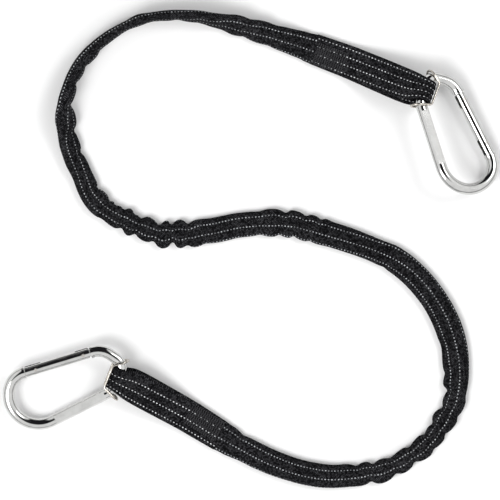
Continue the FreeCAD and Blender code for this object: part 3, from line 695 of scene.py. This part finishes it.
@dataclass
class ElasticCore:
    """The covered rubber strands inside the cover."""

    cover: Cover
    half_width: float = 4.6 * MM
    half_height: float = 1.0 * MM
    room: float = 1.6 * MM
    strands: int = 8
    rib_depth: float = 0.10
    knit_pitch: float = 1.0 * MM

    def build(self, finish: bpy.types.Material) -> bpy.types.Object:
        """Make the elastic, ribbed by its strands.

        Args:
            finish: its material.

        Returns:
            The elastic.
        """
        side, rise = Section(around=48, squareness=5.0).ring()
        keep = slice(3, -3)
        half = np.minimum(self.half_width, self.cover.inner_half[keep] - self.room)[:, None]
        rib = 1 + self.rib_depth * np.cos(side * self.strands * math.pi)[None, :]
        across = side[None, :] * half
        through = rise[None, :] * self.half_height * rib * np.ones_like(half)
        ring = ring_distance(side, rise * 0.2)
        count = np.repeat((ring / ring[-1] * 2 * self.strands)[None, :], len(half), axis=0)
        band = Band("elastic_core", self.cover.centres[keep], self.cover.toward[keep], self.cover.above[keep],
                    across, through, (self.cover.far[keep] / self.knit_pitch, count))
        made = band.build(finish)
        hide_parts("elastic_core_a", "elastic_core_middle", "elastic_core_b")
        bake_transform(made)
        return made


@dataclass
class EndLoop:
    """The webbing folded round the carabiner's bar and sewn to itself."""

    end: End
    block_start: Vector
    block_end: Vector
    cover_way: Vector
    layer: float = 1.6 * MM
    inner_radius: float = 4.4 * MM
    # half the strap's width round the bar, and half its full width
    tip_half: float = 6.9 * MM
    full_half: float = 9.9 * MM
    # how far out from the bar it widens, how far out it is full and how much the loop has closed there
    widening_at: float = 4.4 * MM
    full_at: float = 9.5 * MM
    closing: float = 1.6 * MM
    past_block: float = 1.5 * MM
    row_pitch: float = 5.5 * MM
    rows_from_left: float = 0.9 * MM
    edge_row: bool = False
    dot_pitch: float = 2.15 * MM
    # small pleats where it is drawn together at the bar, and loose waves beyond them
    tip_pleats: float = 0.20 * MM
    pleat_reach: float = 9 * MM
    waves: float = 0.16 * MM
    waves_from: float = 12 * MM
    stitch_rows: int = 16
    stitches: int = 14
    sewn_half: float = 6.6 * MM
    sewn_shift: float = 1.9 * MM
    thread_radius: float = 0.33 * MM
    # a stitch's length and half a zigzag's height, as shares of the zigzag's own length and of a row's height
    stitch_lap: float = 1.12
    zigzag_share: float = 0.36
    bar: Vector = field(init=False)
    out: Vector = field(init=False)
    up: Vector = field(init=False)
    across: Vector = field(init=False)
    sewn_way: Vector = field(init=False)

    def __post_init__(self) -> None:
        """Find the bar that the webbing goes round, and the loop's own directions."""
        joint = next(j for j in frame["joints"] if j["name"] == f"swing_{self.end.value}")
        self.bar = Vector(joint["pos_m"])
        along = Vector(joint["axis"]).normalized()
        out = self.block_start + Vector((0, 0, self.layer)) - self.bar
        self.out = (out - along * out.dot(along)).normalized()
        self.up = self.out.cross(along)
        if self.up.z < 0:
            self.up.negate()
        self.across = self.up.cross(self.out)
        self.sewn_way = (self.block_end - self.block_start).normalized()

    def level_side(self, way: Vector) -> Vector:
        """The level direction square to way, on the same side as the loop's own."""
        side = Vector((0, 0, 1)).cross(way).normalized()
        return side if side.dot(self.across) > 0 else -side

    def stations(self) -> list[tuple[Vector, Vector, float]]:
        """Where the strap's middle goes, which way is across, and half its width, from under to over."""
        mid = self.inner_radius + self.layer / 2 - 0.2 * MM
        block, last = self.level_side(self.sewn_way), self.level_side(self.cover_way)

        def leg(sign: int) -> list[tuple[Vector, Vector, float]]:
            """One layer's stations, from the bar to the sewn block's end."""
            rest = Vector((0, 0, self.layer * (1.5 if sign > 0 else 0.5)))
            rise = self.bar + self.up * (sign * mid)
            half_way = rise - self.up * (sign * self.closing) + self.out * self.full_at
            between = half_way.lerp(self.block_start + rest, 0.5)
            return [
                (rise + self.out * (OCTAGON * mid), self.across, self.tip_half + 0.7 * MM),
                (rise + self.out * self.widening_at, self.across, self.full_half - 1.6 * MM),
                (half_way, self.across, self.full_half),
                (between, self.across.lerp(block, 0.5).normalized(), self.full_half),
                (self.block_start + rest, block, self.full_half - 0.1 * MM),
                (self.block_start.lerp(self.block_end, 0.5) + rest, block, self.full_half - 0.3 * MM),
                (self.block_end + self.sewn_way * self.past_block + rest, last, self.full_half - 0.7 * MM),
            ]

        under, over = leg(-1), leg(1)
        tip = self.tip_half - 0.3 * MM
        corners = [(self.bar + self.up * (rise * mid) - self.out * (reach * mid), self.across, tip)
                   for rise, reach in ((-1, OCTAGON), (-OCTAGON, 1), (OCTAGON, 1), (1, OCTAGON))]
        return under[::-1] + corners + over

    def build(self, finish: bpy.types.Material) -> bpy.types.Object:
        """Make the folded strap.

        Args:
            finish: its material.

        Returns:
            The strap.
        """
        stations = self.stations()
        rails = [read_line("strap_rail", [place + across * (half * sign) for place, across, half in stations], 14)
                 for sign in (1, -1)]
        centres = (rails[0] + rails[1]) / 2
        half = np.linalg.norm(rails[0] - rails[1], axis=1)[:, None] / 2
        left = unit(rails[0] - rails[1])
        way = unit(np.gradient(centres, axis=0))
        up = unit(np.cross(way, left))
        side, rise = Section(around=72, squareness=14.0).ring()
        far = travelled(centres)
        tip = np.abs(far - far[-1] / 2)[:, None]
        pleat = np.exp(-(tip / self.pleat_reach) ** 2) * self.tip_pleats * np.cos(side * 13.0 + 0.7)[None, :]
        loose = np.array([[noise.noise(Vector((f * 70.0, s * 1.4, 4.0))) for s in side] for f in far]) * self.waves
        across = side[None, :] * half
        through = rise[None, :] * (self.layer / 2 - 0.02 * MM) + pleat - loose * (tip > self.waves_from)
        edge = (side * self.full_half)[None, :]
        reach = np.concatenate([edge, edge[:, :1]], axis=1)
        count = np.repeat((self.full_half - self.rows_from_left - reach) / self.row_pitch, len(far), axis=0)
        if not self.edge_row:
            count = np.maximum(count, 0.2)
        dots = far / self.dot_pitch
        made = Band(f"folded_strap_{self.end.value}", centres, left, up, across, through, (dots, count)).build(finish)
        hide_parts(f"end_loop_{self.end.value}")
        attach(made, f"webbing_{self.end.value}")
        return made

    def one_stitch(self, length: float) -> bpy.types.Object:
        """Model one stitch of thread lying along X, with its ends turned down into the cloth."""
        bpy.ops.object.select_all(action="DESELECT")
        bpy.ops.mesh.primitive_cylinder_add(vertices=8, radius=self.thread_radius, depth=length,
                                            rotation=(0, math.pi / 2, 0), end_fill_type="NGON")
        made = bpy.context.active_object
        bpy.ops.object.transform_apply(location=True, rotation=True, scale=True)
        bpy.ops.object.mode_set(mode="EDIT")
        bpy.ops.mesh.select_all(action="SELECT")
        bpy.ops.mesh.subdivide(number_cuts=1)
        bpy.ops.object.mode_set(mode="OBJECT")
        for vertex in made.data.vertices:
            reach = abs(vertex.co.x) / (length / 2)
            vertex.co.z -= self.thread_radius * 1.6 * reach ** 3
        return made

    def sew(self, finish: bpy.types.Material) -> bpy.types.Object:
        """Sew the block: rows of close zigzag stitches across the strap, seen on its upper face.

        Args:
            finish: the thread's material.

        Returns:
            The stitching.
        """
        across = self.level_side(self.sewn_way)
        length = (self.block_end - self.block_start).length
        pitch = 2 * self.sewn_half / self.stitches
        row_half = self.zigzag_share * length / self.stitch_rows
        stitch = self.one_stitch(math.hypot(pitch, 2 * row_half) * self.stitch_lap)
        pieces = []
        for row in range(self.stitch_rows):
            base = self.block_start + self.sewn_way * (length * (row + 0.5) / self.stitch_rows)
            for k in range(self.stitches):
                way = (across * pitch + self.sewn_way * (2 * row_half * (1 if k % 2 else -1))).normalized()
                place = base + across * (pitch * (k + 0.5) - self.sewn_half + self.sewn_shift)
                for height, flip in ((2 * self.layer + 0.10 * MM, 1), (0.30 * MM, -1)):
                    outward = Vector((0, 0, flip))
                    turn = Matrix((way, outward.cross(way), outward)).transposed().to_4x4()
                    piece = stitch.copy()
                    piece.data = stitch.data.copy()
                    piece.data.transform(Matrix.Translation(place + Vector((0, 0, height))) @ turn)
                    bpy.context.scene.collection.objects.link(piece)
                    pieces.append(piece)
        bpy.data.objects.remove(stitch)
        bpy.ops.object.select_all(action="DESELECT")
        for piece in pieces:
            piece.select_set(True)
        bpy.context.view_layer.objects.active = pieces[0]
        bpy.ops.object.join()
        made = bpy.context.active_object
        made.name = f"sewn_block_{self.end.value}"
        made.data.materials.clear()
        made.data.materials.append(finish)
        bpy.ops.object.shade_smooth()
        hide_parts(f"stitching_{self.end.value}")
        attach(made, f"webbing_{self.end.value}")
        return made


# ---------------------------------------------------------------- metalwork
@dataclass
class Carabiner:
    """One carabiner: its own parts are right as they come, and get their finishes."""

    end: End
    finishes: dict[Slot, bpy.types.Material]

    def dress(self) -> list[str]:
        """Give every metal part its finish.

        Returns:
            The names of the parts.
        """
        parts = {"carabiner_frame": Slot.BAR, "gate": Slot.GATE, "keeper_wire": Slot.KEEPER,
                 "hinge_rivet": Slot.PIN, "latch_pin": Slot.PIN, "plunger": Slot.PIN, "gate_spring": Slot.SPRING}
        named = []
        for part, slot in parts.items():
            node = frame["nodes"][f"{part}_{self.end.value}"]
            for place in node.material_slots:
                place.material = self.finishes[slot]
            named.append(node.name)
        return named


# ---------------------------------------------------------------- studio
@dataclass
class Studio:
    """The camera straight above, a pale ground and soft light all round with a dark ceiling, in metres."""

    view_width: float = 0.300
    view_centre: tuple[float, float] = (-0.0003, 0.0)
    camera_height: float = 3.0
    mean_height: float = 6 * MM
    ground_half: float = 4.0
    ground_gap: float = 0.05 * MM
    light_level: float = 1.0
    dark_half: float = 0.34

    def camera(self) -> None:
        """Place the camera so that the view is as wide as it should be at the webbing's height."""
        lens = bpy.data.cameras.new("above")
        lens.sensor_width = 36.0
        lens.lens = 36.0 * (self.camera_height - self.mean_height) / self.view_width
        lens.clip_end = 50.0
        camera = bpy.data.objects.new("above", lens)
        camera.location = (*self.view_centre, self.camera_height)
        bpy.context.scene.collection.objects.link(camera)
        bpy.context.scene.camera = camera

    def ground(self) -> None:
        """Lay the ground under the lanyard."""
        bpy.ops.object.select_all(action="DESELECT")
        bpy.ops.mesh.primitive_plane_add(size=2 * self.ground_half, location=(0, 0, -self.ground_gap))
        floor = bpy.context.active_object
        floor.name = "ground"
        floor.data.materials.append(PaleFloor().make())

    def sky(self) -> None:
        """Soft light from all sides that is dark straight above and along the horizon."""
        world = bpy.data.worlds.new("studio")
        bpy.context.scene.world = world
        g = Graph(world)
        east, north, height = g.split(g.coordinates("Generated"))
        middle = east.math("ABSOLUTE").ramp(self.dark_half, self.dark_half + 0.10, 1.0, 0.0)
        northern = north.ramp(-0.30, -0.16)
        horizon = height.ramp(0.02, 0.38, 0.10, 1.0)
        level = (1 - middle * northern) * horizon
        colour = g.mix(level, rgb(0.015, 0.015, 0.017), rgb(1.0, 1.0, 1.0))
        background = g.node("ShaderNodeBackground", inputs={"Color": colour, "Strength": self.light_level})
        out = g.tree.nodes.new("ShaderNodeOutputWorld")
        g.tree.links.new(background.socket, out.inputs["Surface"])

    def panel(self, name: str, place: tuple[float, float, float], size: float, power: float) -> None:
        """Hang a square light panel that faces the lanyard.

        Args:
            name: the panel's name.
            place: where it hangs, in metres.
            size: its side, in metres.
            power: its power, in watts.
        """
        light = bpy.data.lights.new(name, "AREA")
        light.shape = "SQUARE"
        light.size = size
        light.energy = power
        panel = bpy.data.objects.new(name, light)
        panel.location = place
        panel.rotation_euler = Vector(place).to_track_quat("Z", "Y").to_euler()
        bpy.context.scene.collection.objects.link(panel)

    def build(self) -> None:
        """Set up everything round the lanyard."""
        bpy.context.scene.view_settings.view_transform = "Standard"
        self.ground()
        self.sky()
        self.panel("key", (-0.9, -0.8, 1.5), 0.8, 17.0)
        self.panel("fill", (1.1, 0.6, 1.3), 0.6, 8.0)


def flat(x: float, y: float) -> Vector:
    """A point on the ground, from millimetres."""
    return Vector((x, y, 0.0)) * MM


def main() -> None:
    """Build the lanyard, piece by piece."""
    logging.basicConfig(level=logging.INFO, format="%(name)s: %(message)s")
    studio = Studio()
    studio.camera()
    webbing = WovenPolyester().make()
    thread = SewingThread().make()
    cover = Cover()
    made = cover.dress(WovenPolyester("gathered_webbing", silver=rgb(0.52, 0.54, 0.56)).make())
    log.info("cover %.3f m long, %d faces", cover.far[-1], len(made.data.polygons))
    core = ElasticCore(cover).build(CoveredRubber().make())
    log.info("elastic core, %d faces", len(core.data.polygons))
    loops = (
        EndLoop(End.A, flat(-38.7, -99.0), flat(-19.2, -111.0), flat(15.9, -8.9).normalized()),
        EndLoop(End.B, flat(59.7, 112.8), flat(39.3, 120.3), flat(-14.3, 4.7).normalized(),
                row_pitch=5.0 * MM, rows_from_left=2.2 * MM, edge_row=True),
    )
    for loop in loops:
        strap = loop.build(webbing)
        sewn = loop.sew(thread)
        log.info("end %s: strap %d faces, sewn block %d faces", loop.end.value, len(strap.data.polygons),
                 len(sewn.data.polygons))
    finishes = {
        Slot.BAR: PolishedMetal("polished_bar", rgb(0.64, 0.64, 0.63), rgb(0.55, 0.55, 0.54)).make(),
        Slot.GATE: PolishedMetal("polished_gate", rgb(0.62, 0.62, 0.61), rgb(0.53, 0.53, 0.52)).make(),
        Slot.KEEPER: PolishedMetal("nickel_wire", rgb(0.60, 0.57, 0.52), rgb(0.42, 0.39, 0.35), 0.14, 0.14).make(),
        Slot.PIN: PolishedMetal("plated_pin", rgb(0.45, 0.43, 0.40), rgb(0.34, 0.32, 0.30), 0.22, 0.2).make(),
        Slot.SPRING: PolishedMetal("spring_wire", rgb(0.45, 0.45, 0.46), rgb(0.33, 0.33, 0.34), 0.2, 0.2).make(),
    }
    for end in End:
        log.info("carabiner %s: %s", end.value, ", ".join(Carabiner(end, finishes).dress()))
    studio.build()


if __name__ == "__main__":
    main()
